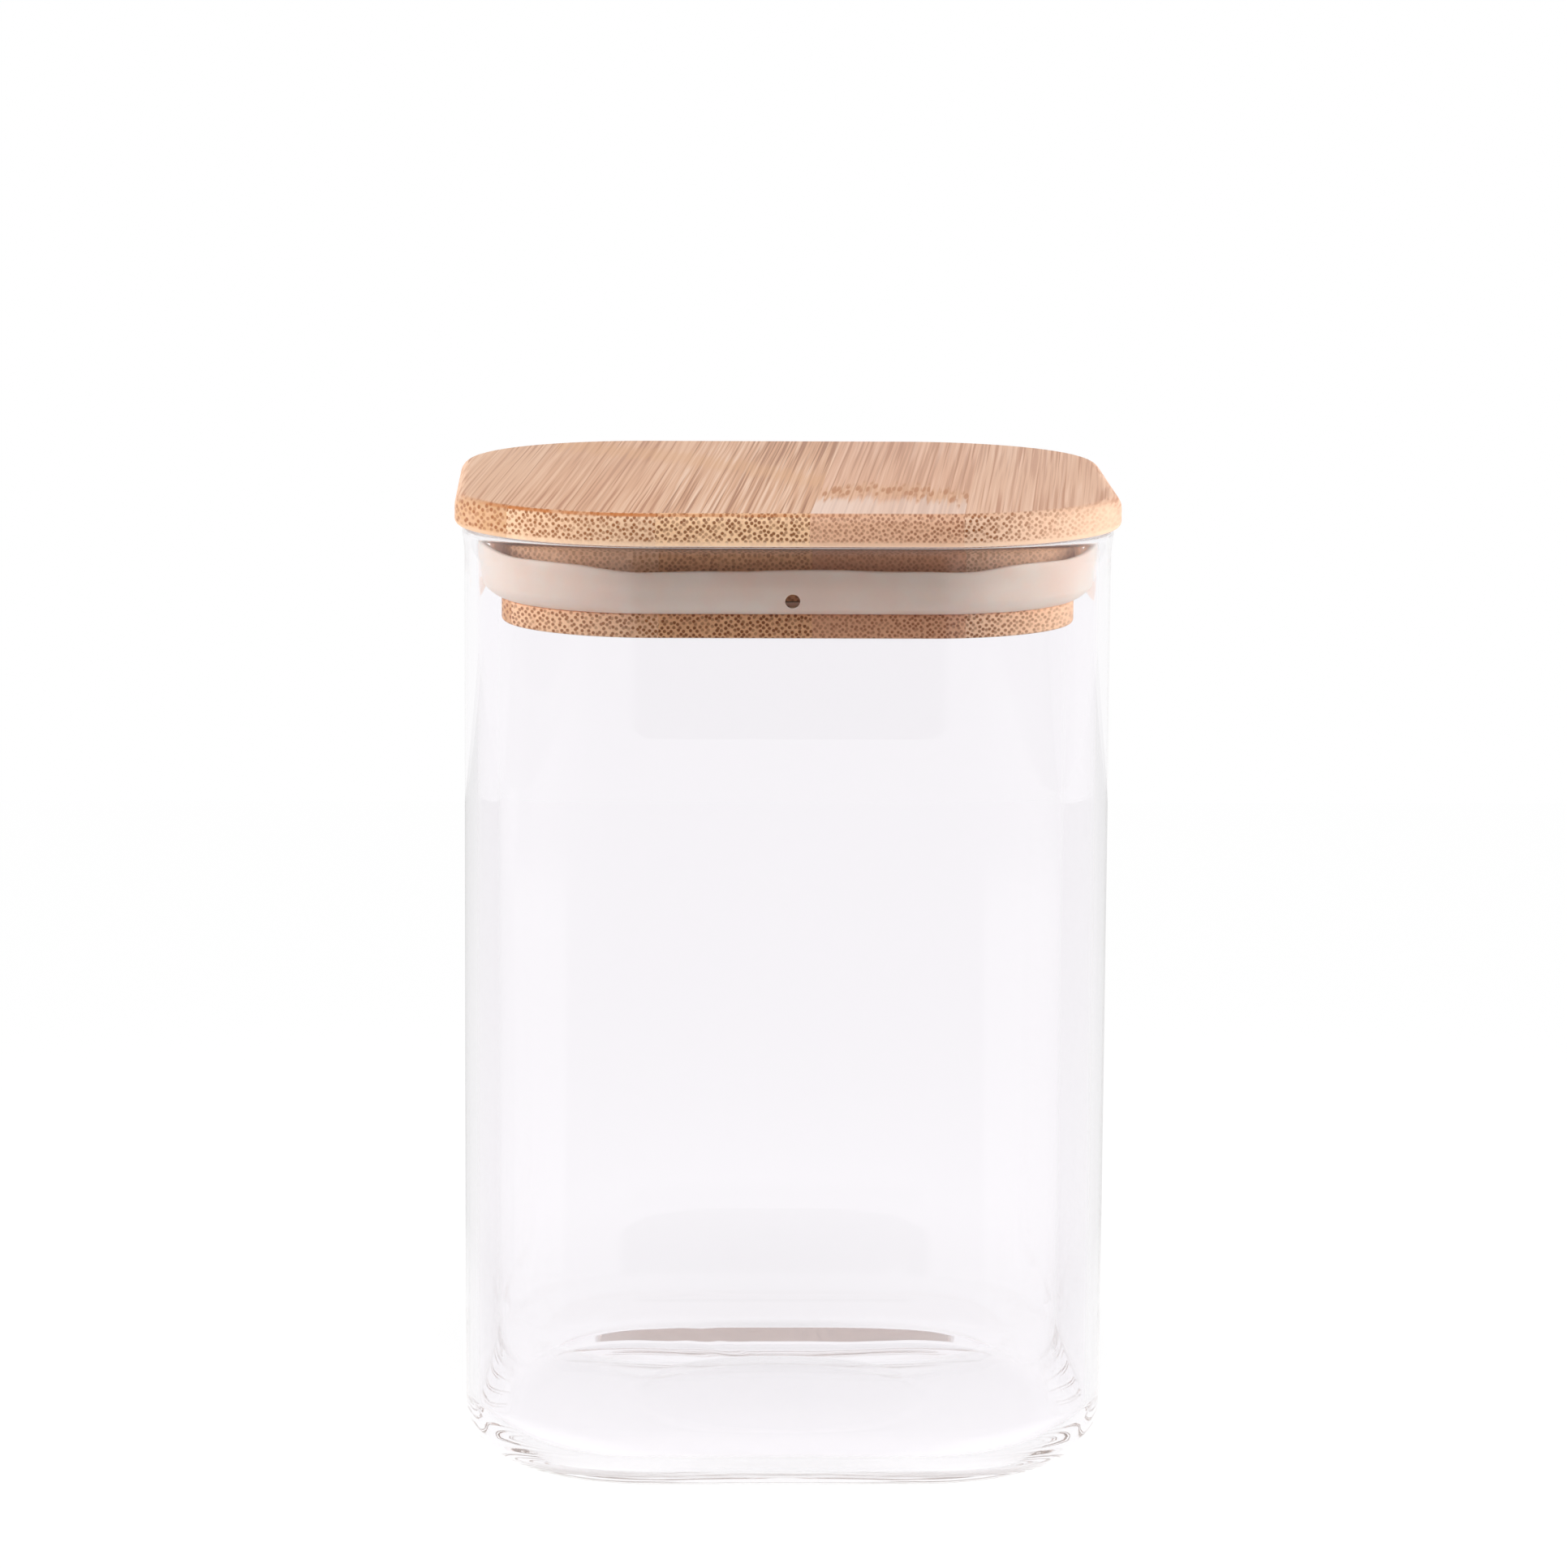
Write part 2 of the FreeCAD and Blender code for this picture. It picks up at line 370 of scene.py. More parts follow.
# %% Board and slot
OVERHANG, BOARD_THICKNESS = 1.5 * MM, 5 * MM
BOARD_HALF, BOARD_CORNER = JAR_HALF + OVERHANG, JAR_CORNER + OVERHANG
BOARD_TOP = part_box("lid_stave_3")[1].z
BOARD_UNDER = BOARD_TOP - BOARD_THICKNESS
PLUG_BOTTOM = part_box("lid_stave_3")[0].z
PLUG_HALF, PLUG_CORNER = 44.25 * MM, 23.25 * MM
PLUG_IN = BOARD_HALF - PLUG_HALF
FOOT_HEIGHT, SLOT_HEIGHT, SLOT_DEPTH = 3.75 * MM, 2 * MM, 3 * MM
SLOT_FLOOR = PLUG_BOTTOM + FOOT_HEIGHT
SLOT_TOP = SLOT_FLOOR + SLOT_HEIGHT
TOP_ROUND, TOP_STEPS = 2.2 * MM, 8
UNDER_ROUND, UNDER_STEPS = 0.8 * MM, 4

block = rounded_plate("lid_block", BOARD_HALF, BOARD_CORNER, BOARD_TOP)
carry_face([(0, BOARD_TOP), (0, BOARD_UNDER)])
ease(block, at_height(BOARD_TOP), TOP_ROUND, TOP_STEPS)
ease(block, at_height(BOARD_UNDER), UNDER_ROUND, UNDER_STEPS)
choose(block, "FACE", at_height(BOARD_UNDER))
carry_face([
    (UNDER_ROUND, BOARD_UNDER),
    (PLUG_IN, BOARD_UNDER),
    (PLUG_IN, SLOT_TOP),
    (PLUG_IN + SLOT_DEPTH, SLOT_TOP),
    (PLUG_IN + SLOT_DEPTH, SLOT_FLOOR),
])
bpy.ops.mesh.delete(type="ONLY_FACE")
bpy.ops.object.mode_set(mode="OBJECT")
print("board and slot of", len(block.data.polygons), "faces")

# %% Plug's foot
PLUG_EASE, PLUG_STEPS = 0.5 * MM, 4
SLOT_SEAM = 0.3 * MM               # the farthest that two corners lie apart where foot and slot meet
SLOT_SQUARE = PLUG_HALF - 2 * MM    # half of a square that holds the whole of the slot's end

foot = rounded_plate("plug_foot", PLUG_HALF, PLUG_CORNER, SLOT_FLOOR)
carry_face([(0, SLOT_FLOOR), (0, PLUG_BOTTOM)])
for z in (PLUG_BOTTOM, SLOT_FLOOR):
    ease(foot, at_height(z), PLUG_EASE, PLUG_STEPS)
choose(foot, "FACE", at_height(SLOT_FLOOR))
bpy.ops.mesh.inset(thickness=SLOT_DEPTH - PLUG_EASE)
bpy.ops.mesh.delete(type="ONLY_FACE")
bpy.ops.object.mode_set(mode="OBJECT")
join_into(block, foot)
at_floor = at_height(SLOT_FLOOR)
choose(block, "VERT", lambda corner: at_floor(corner) and max(map(abs, corner.co.xy)) < SLOT_SQUARE)
bpy.ops.mesh.remove_doubles(threshold=SLOT_SEAM)
merge_and_face_out()
report(block)

# %% [markdown]
# The glue joints run straight through the lid, a few degrees askew. For each stave the block is copied
# and cut along the joint at either side. A boolean would need a cutter for every joint. Bisect needs
# only a plane, and it fills the cut as well, so that every stave is a closed solid. Edges that turn by
# less than thirty degrees are shaded smooth, and the sawn edges stay sharp.

# %% Staves
GRAIN_SKEW = math.radians(4.7)
ACROSS = Vector((math.cos(GRAIN_SKEW), -math.sin(GRAIN_SKEW), 0))
JOINTS = [-39.6 * MM, -16.5 * MM, 6.6 * MM, 29.7 * MM]    # across the grain, from the lid's middle
CREASE = math.radians(30)


def saw(stave, joint, keep_right):
    """Cut the stave along a glue joint, close the cut and keep one side of it."""
    select_only(stave)
    bpy.ops.object.mode_set(mode="EDIT")
    bpy.ops.mesh.select_all(action="SELECT")
    bpy.ops.mesh.bisect(
        plane_co=ACROSS * joint, plane_no=ACROSS, use_fill=True,
        clear_inner=keep_right, clear_outer=not keep_right)
    bpy.ops.object.mode_set(mode="OBJECT")


staves = []
for number in range(len(JOINTS) + 1):
    select_only(block)
    bpy.ops.object.duplicate()
    stave = bpy.context.object
    stave.name = f"bamboo_stave_{number + 1}"
    stave.data.name = stave.name
    for joint in JOINTS[max(number - 1, 0):number]:
        saw(stave, joint, True)
    for joint in JOINTS[number:number + 1]:
        saw(stave, joint, False)
    bpy.ops.object.shade_smooth_by_angle(angle=CREASE)
    report(stave)
    staves.append(stave)
bpy.data.objects.remove(block)

# %% [markdown]
# ## The silicone seal
#
# The seal is a moulded ring. Its root sits in the plug's slot, and its lip sweeps out and up until
# it lies against the glass. Its section could be swept along a curve, but drawing an outer and an
# inner skin down from the lip gives the same even rings as the jar, and two bridges close them at
# the lip and at the root. The sweep is an arc that leaves the lip upright and ends where the slot
# begins, and the inner skin follows it at the rubber's thickness.

# %% Seal
LIP_HALF, LIP_CORNER = 47.7 * MM, 26.7 * MM
LIP_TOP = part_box("silicone_seal")[1].z
LIP_STEPS, OUTER_STEPS, INNER_STEPS = 3, 10, 8
SEAL_THICKNESS, ROOT_GAP = 0.9 * MM, 0.15 * MM
ROOT_IN = PLUG_HALF - SLOT_DEPTH + ROOT_GAP
CURVE_HEIGHT, CURVE_REACH = 4.9 * MM, LIP_HALF - PLUG_HALF
CURVE_TOP = SLOT_FLOOR + CURVE_HEIGHT
CURVE_RADIUS = (CURVE_REACH ** 2 + CURVE_HEIGHT ** 2) / (2 * CURVE_REACH)


def seal_skin(name, drawn_in, top, root, steps):
    """A skin of the seal at a depth in the rubber, from the lip down to its root, open at both ends."""
    half, radius = LIP_HALF - drawn_in, CURVE_RADIUS - drawn_in
    levels = [(0, z) for z in even_steps(top, CURVE_TOP, LIP_STEPS)]
    for angle in even_steps(0, math.asin((CURVE_TOP - root) / radius), steps)[1:]:
        levels.append((radius * (1 - math.cos(angle)), CURVE_TOP - radius * math.sin(angle)))
    levels.append((half - ROOT_IN, root))
    skin = rounded_plate(name, half, LIP_CORNER - drawn_in, top)
    carry_face(levels)
    bpy.ops.mesh.delete(type="ONLY_FACE")
    open_end(skin, top)
    bpy.ops.object.mode_set(mode="OBJECT")
    return skin


seal = seal_skin("silicone_lip_seal", 0, LIP_TOP, SLOT_FLOOR, OUTER_STEPS)
lining = seal_skin("seal_inner_skin", SEAL_THICKNESS, LIP_TOP - STEP_DOWN, SLOT_TOP - ROOT_GAP, INNER_STEPS)
print("seal's skins of", len(seal.data.polygons), "and", len(lining.data.polygons), "faces")

# %% Seal closed
LIP_ROUND, LIP_ROUND_STEPS = 0.4 * SEAL_THICKNESS, 4

join_into(seal, lining)
bridge(seal, open_edge_at(LIP_TOP))
bridge(seal, lambda edge: len(edge.link_faces) < 2)
round_crest(seal, LIP_TOP, LIP_ROUND, LIP_ROUND_STEPS)
report(seal)

# %% [markdown]
# Soft silicone never lies quite level. The lip's edge rises by about two millimetres where each corner
# runs into the left or the right side, and in between it waves by a fraction of a millimetre. So single
# points of its crest are nudged up or down with proportional editing, which draws the neighbouring
# rings along and fades out with distance. The root is hidden during the large lifts, so that it stays
# in its slot.

# %% Wavy lip
WAVE_REACH, TURN_REACH, LIFT_REACH = 7.5 * MM, 15 * MM, 24 * MM
CORNER_LIFT, TURN_LIFT = 0.9 * MM, 2.2 * MM
CORNER_MIDDLE = LIP_HALF - LIP_CORNER * (1 - DIAGONAL)    # along x and y
CORNER_END = LIP_HALF - LIP_CORNER + 5 * MM               # along y, on the left and the right side
CREST_DEPTH, GRIP = 1 * MM, 0.9 * MM
HIDDEN_BELOW = CURVE_TOP - 2 * MM
FRONT_NUDGES = [(-34, 0.1), (-26, -0.3), (-20, -0.15), (0, 0.25), (8, 0.25), (27, -0.4), (36, 0.1)]
SIDE_NUDGES = [(-26, -0.3), (-20, -0.2), (0, 0.3), (24, -0.35)]    # both in mm along the side, and mm up


def nudge_lip(x, y, rise, follow=WAVE_REACH):
    """Move the crest of the lip up at one place, with its neighbourhood following."""
    shape = bmesh.from_edit_mesh(seal.data)
    crest = [corner for corner in shape.verts if not corner.hide and corner.co.z > LIP_TOP - CREST_DEPTH]
    nearest = min(crest, key=lambda corner: (corner.co.xy - Vector((x, y))).length)
    choose(seal, "VERT", lambda corner: (corner.co - nearest.co).length < GRIP)
    bpy.ops.transform.translate(
        value=(0, 0, rise), use_proportional_edit=True, use_proportional_connected=True,
        proportional_edit_falloff="SMOOTH", proportional_size=follow)


bpy.ops.object.mode_set(mode="EDIT")
choose(seal, "VERT", lambda corner: corner.co.z < HIDDEN_BELOW)
bpy.ops.mesh.hide(unselected=False)
for side in (-1, 1):
    for end in (-1, 1):
        nudge_lip(side * CORNER_MIDDLE, end * CORNER_MIDDLE, CORNER_LIFT, LIFT_REACH)
        nudge_lip(side * LIP_HALF, end * CORNER_END, TURN_LIFT, TURN_REACH)
bpy.ops.mesh.reveal(select=False)
for along_side, rise in FRONT_NUDGES:
    nudge_lip(along_side * MM, -LIP_HALF, rise * MM)
for along_side, rise in SIDE_NUDGES:
    nudge_lip(-LIP_HALF, along_side * MM, rise * MM)
    nudge_lip(LIP_HALF, -along_side * MM, rise * MM)
    nudge_lip(along_side * MM, LIP_HALF, rise * MM)
bpy.ops.object.mode_set(mode="OBJECT")
report(seal)

# %% [markdown]
# The small hole at the front lets air out while the lid is pushed down. A pin in the mould would leave
# such a hole in a real seal. Here a cylinder is cut out with a boolean, the plain way to drill a curved
# skin, and it comes last because the nudges before it need the lip's clean rings.

# %% Breather hole
VENT_RADIUS, VENT_HEIGHT = 1.15 * MM, 2.3 * MM
DRILL_LENGTH, DRILL_SIDES = 4 * MM, 32

bpy.ops.object.select_all(action="DESELECT")
bpy.ops.mesh.primitive_cylinder_add(
    vertices=DRILL_SIDES, radius=VENT_RADIUS, depth=DRILL_LENGTH, rotation=(math.pi / 2, 0, 0),
    location=(0, -PLUG_HALF - DRILL_LENGTH / 2, SLOT_FLOOR + VENT_HEIGHT))
drill = bpy.context.object
drill.name = "vent_drill"
select_only(seal)
hole = seal.modifiers.new("breather_hole", "BOOLEAN")
hole.operation = "DIFFERENCE"
hole.solver = "EXACT"
hole.object = drill
bpy.ops.object.modifier_apply(modifier=hole.name)
bpy.data.objects.remove(drill)
bpy.ops.object.shade_smooth_by_angle(angle=CREASE)
report(seal)

# %% [markdown]
# ## Building finishes from nodes
#
# Every finish below is procedural, so it has no seams and looks the same from any side. A few small
# helpers keep the node trees readable. One adds a node and fills its sockets, and the others are for
# what comes up again and again: a sum, a product, a smooth step, and a mix of two numbers or colours.
# The limits of a smooth step are often kept as one named value: where it starts, where it ends, and
# what it gives at either end, if that isn't 0 and 1.

# %% Helpers for node trees
NUMBER_A, NUMBER_B, NUMBER_OUT = 2, 3, 0    # sockets of a Mix node that mixes numbers
COLOUR_A, COLOUR_B, COLOUR_OUT = 6, 7, 2    # and of one that mixes colours


def fill(tree, socket, value):
    """Link another node's output to a socket, or set the socket's own value."""
    if isinstance(value, bpy.types.NodeSocket):
        tree.links.new(value, socket)
    else:
        socket.default_value = value


def add(tree, kind, settings=None, **sockets):
    """Add a node, apply its settings, and fill or link its inputs by name."""
    node = tree.nodes.new("ShaderNode" + kind)
    for setting, value in (settings or {}).items():
        setattr(node, setting, value)
    for name, value in sockets.items():
        fill(tree, node.inputs[name.replace("_", " ")], value)
    return node


def sums(tree, operation, *values):
    """A Math node of one operation, and its output."""
    node = add(tree, "Math", {"operation": operation})
    for socket, value in zip(node.inputs, values):
        fill(tree, socket, value)
    return node.outputs["Value"]


def times(tree, first, *others):
    """The product of several values."""
    for other in others:
        first = sums(tree, "MULTIPLY", first, other)
    return first


def vector_sum(tree, operation, first, second):
    """A Vector Math node of one operation on two vectors."""
    node = add(tree, "VectorMath", {"operation": operation})
    for socket, value in zip(node.inputs, (first, second)):
        fill(tree, socket, value)
    return node


def ramp(tree, value, low, high, to_low=0.0, to_high=1.0):
    """A smooth step of a value from one range to another."""
    step = add(tree, "MapRange", {"interpolation_type": "SMOOTHSTEP"}, Value=value, From_Min=low,
               From_Max=high, To_Min=to_low, To_Max=to_high)
    return step.outputs["Result"]


def blend_value(tree, factor, first, second):
    """A mix of two numbers, and its output."""
    node = add(tree, "Mix", Factor=factor)
    fill(tree, node.inputs[NUMBER_A], first)
    fill(tree, node.inputs[NUMBER_B], second)
    return node.outputs[NUMBER_OUT]


def blend_colour(tree, factor, first, second, blending="MIX"):
    """A mix of two colours, and its output."""
    node = add(tree, "Mix", {"data_type": "RGBA", "blend_type": blending}, Factor=factor)
    fill(tree, node.inputs[COLOUR_A], first)
    fill(tree, node.inputs[COLOUR_B], second)
    return node.outputs[COLOUR_OUT]


# %% Helpers for colours and materials
FULL = 255    # the brightest value that a screen's colour can have


def screen_colour(red, green, blue):
    """A colour as it is read off a screen, turned into the linear values that shaders use."""
    on_screen = Color((red / FULL, green / FULL, blue / FULL))
    return (*on_screen.from_srgb_to_scene_linear(), 1)


def new_material(name):
    """A material with a Principled shader, and its node tree."""
    material = bpy.data.materials.new(name)
    material.use_nodes = True
    tree = material.node_tree
    return material, tree, tree.nodes["Principled BSDF"]


def dress(piece, material):
    """Give the piece one material all over."""
    piece.data.materials.clear()
    piece.data.materials.append(material)


print("half grey on a screen is", round(screen_colour(FULL / 2, 0, 0)[0], 3), "of full light")

# %% [markdown]
# ## Bamboo
#
# Bamboo is a bundle of long fibres. Where a stave is cut across, the bundles show as staggered brown
# dots in a pale ground. Where it is cut along, they show as long thin lines. A picture of each could
# be laid on the faces, but a solid pattern gives both at once and needs no unwrapping: the dots are
# a flat field of cells, the same all along the grain, the lines are noise drawn out along it, and the
# direction of the face decides which of them shows. The pattern is a node group, so that every stave
# can have its own tones, its own size of dots and its own knuckle.

# %% Bamboo grain group
GROUP_INPUTS = {
    "NodeSocketVector": ["Shift"],
    "NodeSocketFloat": [
        "Dot Spacing", "Dot Size", "Left Edge", "Right Edge", "Left Dots", "Right Dots", "Edge Oil",
        "Knuckle Place", "Knuckle Middle", "Knuckle Tilt", "Knuckle Bow", "Knuckle Stain", "Knuckle Marks"],
    "NodeSocketColor": ["Ground", "Pale Line", "Dark Line", "End Pale", "End Dark", "Plug Painted Light And Shade"],
}

grain = bpy.data.node_groups.new("bamboo_grain", "ShaderNodeTree")
for kind, names in GROUP_INPUTS.items():
    for name in names:
        grain.interface.new_socket(name, in_out="INPUT", socket_type=kind)
grain.interface.new_socket("Color", in_out="OUTPUT", socket_type="NodeSocketColor")
for name in ("Roughness", "Coat", "Height"):
    grain.interface.new_socket(name, in_out="OUTPUT", socket_type="NodeSocketFloat")
given = grain.nodes.new("NodeGroupInput").outputs
put_out = grain.nodes.new("NodeGroupOutput").inputs
print(grain.name, "with", sum(len(names) for names in GROUP_INPUTS.values()), "inputs")

# %% [markdown]
# The fibres wander a little, as they grew. So the place on the stave is turned to the grain, shifted
# so that no two staves are alike, and pushed about by a soft noise before anything is drawn on it.

# %% Place along the grain
WANDER, WANDER_SCALE = 0.12 * MM, 28
MID_NOISE = (0.5, 0.5, 0.5)
CUT_ACROSS = (0.05, 0.3)    # how squarely a face meets the grain where dots begin, and where they are full

place = add(grain, "TexCoord").outputs
turned_place = add(grain, "Mapping", Vector=place["Object"], Rotation=(0, 0, GRAIN_SKEW)).outputs["Vector"]
across, along, up = add(grain, "SeparateXYZ", Vector=turned_place).outputs
moved = vector_sum(grain, "ADD", turned_place, given["Shift"]).outputs["Vector"]
drift = add(grain, "TexNoise", Vector=moved, Scale=WANDER_SCALE, Detail=1).outputs["Color"]
drift = vector_sum(grain, "SUBTRACT", drift, MID_NOISE).outputs["Vector"]
drift = vector_sum(grain, "MULTIPLY", drift, [2 * WANDER] * 3).outputs["Vector"]
fibre_place = vector_sum(grain, "ADD", moved, drift).outputs["Vector"]

grain_way = (math.sin(GRAIN_SKEW), math.cos(GRAIN_SKEW), 0)
facing = vector_sum(grain, "DOT_PRODUCT", place["Normal"], grain_way).outputs["Value"]
end_cut = ramp(grain, sums(grain, "ABSOLUTE", facing), *CUT_ACROSS)
long_cut = sums(grain, "SUBTRACT", 1.0, end_cut)
print(len(grain.nodes), "nodes find the place")

# %% [markdown]
# Planed along, bamboo shows a broad drift of tone with fine lines in it, some paler and some darker
# than the ground, and single hairs. Three noises, each drawn out along the grain by another measure,
# give these, and every kind of line is laid over the ones before it.

# %% Lines along the grain
# stretch along the grain, then scale, detail and roughness of the noise
FINE, BROAD, HAIR = (0.006, 1700, 2, 0.6), (0.03, 150, 2, 0.5), (0.004, 2500, 0, 0.5)
FINE_SHARE, BROAD_SHARE = 0.68, 0.32


def drawn_out(stretch):
    """The place with its length along the grain pressed together, which draws a pattern out."""
    return vector_sum(grain, "MULTIPLY", fibre_place, (1, stretch, 1)).outputs["Vector"]


def streaks(stretch, scale, detail, roughness):
    """A noise drawn out along the grain."""
    noise = add(grain, "TexNoise", Vector=drawn_out(stretch), Scale=scale, Detail=detail,
                Roughness=roughness)
    return noise.outputs["Fac"]


fine, broad, hair = streaks(*FINE), streaks(*BROAD), streaks(*HAIR)
tone = sums(grain, "ADD", times(grain, fine, FINE_SHARE), times(grain, broad, BROAD_SHARE))
long_colour = given["Ground"]
for noise, start, full, strength, paint in (
        (tone, 0.5, 0.62, 0.85, "Pale Line"),
        (tone, 0.5, 0.38, 0.65, "Dark Line"),
        (hair, 0.42, 0.28, 0.55, "Pale Line"),
        (hair, 0.57, 0.72, 0.85, "Dark Line")):
    line = ramp(grain, noise, start, full, 0, strength)
    long_colour = blend_colour(grain, line, long_colour, given[paint])
    print(paint, "where the noise is past", start)

# %% [markdown]
# Cut across, each bundle of fibres is a brown dot, and no two are quite as dark. A field of cells has
# one dot per cell, turned by an eighth of a circle so that the rows are staggered as in the cane. The
# cane is denser near its skin, so the dots can grow stronger from one side of a stave to the other.

# %% Dots in the end grain
DOT_JITTER, DOT_BLUR, STAGGER = 0.6, 0.26, math.pi / 4
FAINT_DOT, STRONG_TINT = 0.55, 0.7

fibre = add(grain, "SeparateXYZ", Vector=fibre_place).outputs
cut_face = add(grain, "CombineXYZ", X=fibre["X"], Y=fibre["Z"]).outputs["Vector"]
staggered = add(grain, "Mapping", Vector=cut_face, Rotation=(0, 0, STAGGER)).outputs["Vector"]
fineness = sums(grain, "DIVIDE", 1.0, given["Dot Spacing"])
bundles = add(grain, "TexVoronoi", {"voronoi_dimensions": "2D"},
              Vector=staggered, Scale=fineness, Randomness=DOT_JITTER).outputs
dot_core = sums(grain, "SUBTRACT", given["Dot Size"], DOT_BLUR)
dot = ramp(grain, bundles["Distance"], dot_core, given["Dot Size"], 1, 0)
tint = add(grain, "SeparateColor", Color=bundles["Color"]).outputs["Red"]
dot = times(grain, dot, ramp(grain, tint, 0, STRONG_TINT, FAINT_DOT, 1))
density = add(grain, "MapRange", Value=across, From_Min=given["Left Edge"], From_Max=given["Right Edge"],
              To_Min=given["Left Dots"], To_Max=given["Right Dots"]).outputs["Result"]
dot = sums(grain, "MINIMUM", times(grain, dot, density), 1.0)
print("a dot's edge is soft over", DOT_BLUR, "of the dots' spacing")

# %% [markdown]
# The board's lower edge has no dots, which leaves it pale: a painted light for the white table below
# it. The land of the plug above the seal shows fainter dots than its foot. All this depends only on the
# height, so a few smooth steps of it are enough.

# %% Where the dots show
LAND_DOTS = 0.55
PLUG_SOFT = 0.2 * MM
# the lowest part of the board's edge gets no dots, which makes it paler as painted light from the table
# below
EDGE_NO_DOTS, EDGE_FULL = 0.5 * MM, 1.1 * MM    # above the board's underside
GROUND_SHOWS = (0.58, 0.4, 0, 0.45)

on_plug = ramp(grain, up, BOARD_UNDER + PLUG_SOFT, BOARD_UNDER - PLUG_SOFT)
above_edge = ramp(grain, up, BOARD_UNDER + EDGE_NO_DOTS, BOARD_UNDER + EDGE_FULL)
land_dots = ramp(grain, up, SLOT_FLOOR, SLOT_TOP, 1, LAND_DOTS)
dot = times(grain, dot, sums(grain, "MAXIMUM", times(grain, on_plug, land_dots), above_edge))
end_ground = blend_colour(grain, ramp(grain, tone, *GROUND_SHOWS), given["End Pale"], given["Ground"])
end_colour = blend_colour(grain, dot, end_ground, given["End Dark"])
colour = blend_colour(grain, end_cut, long_colour, end_colour)
print("no dots below", round((BOARD_UNDER + EDGE_NO_DOTS) / MM, 1), "mm on the board's edge")

# %% [markdown]
# A cane has a knuckle every hand's length or so. Planed off, it leaves a bowed band of short rusty
# dashes across a stave, with paler, finer wood in front of it, and elsewhere only a soft stain. The
# band is a distance from a bowed line, made ragged by the noise that is already there.

# %% Knuckle
BAND_FULL, BAND_END = 3 * MM, 12 * MM          # either way from the knuckle's line
PALE_START, PALE_FULL = -9 * MM, -17 * MM      # along the grain, towards the front
PALE_PATCHES = (0.3, 0.6, 0.55, 0.8)
RAGGED = 30 * MM
DASH_STRETCH, DASH_SCALE, DASH_CORE, DASH_EDGE = 0.1, 1100, 0.3, 0.55
KNUCKLE_STAIN = screen_colour(222, 170, 124)
KNUCKLE_DASH = screen_colour(186, 122, 78)
KNUCKLE_PALE = screen_colour(240, 216, 202)

from_middle = sums(grain, "SUBTRACT", across, given["Knuckle Middle"])
bow = times(grain, from_middle, from_middle, given["Knuckle Bow"])
bowed = sums(grain, "ADD", bow, times(grain, from_middle, given["Knuckle Tilt"]))
ragged = times(grain, sums(grain, "SUBTRACT", fine, 0.5), RAGGED)
from_knuckle = sums(grain, "ADD", sums(grain, "SUBTRACT", along, given["Knuckle Place"]), ragged)
from_line = sums(grain, "ABSOLUTE", sums(grain, "SUBTRACT", from_knuckle, bowed))
band = ramp(grain, from_line, BAND_FULL, BAND_END, 1, 0)
cells = add(grain, "TexVoronoi", Vector=drawn_out(DASH_STRETCH), Scale=DASH_SCALE).outputs["Distance"]
dash = times(grain, band, ramp(grain, cells, DASH_CORE, DASH_EDGE, 1, 0))
pale = ramp(grain, from_knuckle, PALE_START, PALE_FULL)
pale = times(grain, pale, ramp(grain, broad, *PALE_PATCHES))
for mask, strength, paint in (
        (pale, given["Knuckle Marks"], KNUCKLE_PALE),
        (band, given["Knuckle Stain"], KNUCKLE_STAIN),
        (dash, given["Knuckle Marks"], KNUCKLE_DASH)):
    colour = blend_colour(grain, times(grain, mask, strength, long_cut), colour, paint)
print("the knuckle's band fades out", round(BAND_END / MM), "mm from its line")

# %% [markdown]
# The board has a thin satin coat and the plug has none. The plug's colour is multiplied by a tone on
# each stave, which is painted shade and light: darker and warmer on the middle staves, paler at the ends,
# where the side lamps reach. The board's lower edge is left pale as painted light from the white table
# below, and faces that point down are paler and greyer. All three are found by height or by how far a
# face is tipped, and need no painted mask.

# %% Bare plug, and painted light and shade
# painted light: the board's lowest edge is blended towards a pale colour, for the white table that lights
# it from below
EDGE_PAINTED_LIGHT, EDGE_PAINTED_LIGHT_SHARE = screen_colour(255, 221, 190), 0.32
# faces that point down are blended towards a pale grey
DOWNWARD_GREY = screen_colour(228, 218, 212)
DOWNWARD_TIPPED = (-0.7, -0.95, 0, 0.7)
SATIN_COAT = 0.5

# painted light and shade on the plug: each stave's tone multiplies the colour below the board
colour = blend_colour(grain, on_plug, colour, given["Plug Painted Light And Shade"], "MULTIPLY")
# the mask of that painted light, on the board's lowest edge
painted_light_edge = sums(grain, "SUBTRACT", 1.0, sums(grain, "MAXIMUM", on_plug, above_edge))
colour = blend_colour(grain, times(grain, painted_light_edge, EDGE_PAINTED_LIGHT_SHARE), colour, EDGE_PAINTED_LIGHT)
tip = add(grain, "SeparateXYZ", Vector=place["Normal"]).outputs["Z"]
colour = blend_colour(grain, ramp(grain, tip, *DOWNWARD_TIPPED), colour, DOWNWARD_GREY)
fill(grain, put_out["Coat"], blend_value(grain, on_plug, SATIN_COAT, 0.0))
print("satin coat", SATIN_COAT, "on the board, none on the plug")

# %% [markdown]
# Oil has soaked in along the crest of the front edge and left a thin rusty line there, in patches. The
# line is found by how far the face is tipped, so it follows the rounded edge wherever the end grain
# shows. After it come the group's other results: a gloss that changes with the tone, and a height that
# sinks the dots a little.

# %% Oiled edge, and what the group puts out
EDGE_OIL = screen_colour(202, 122, 62)
CREST_BEGINS, CREST_ENDS = (0.72, 0.84), (0.985, 0.95)
OIL_PATCHES = (0.35, 0.6)
SATIN = (0.3, 0.7, 0.48, 0.6)
DOT_SINK = 0.6

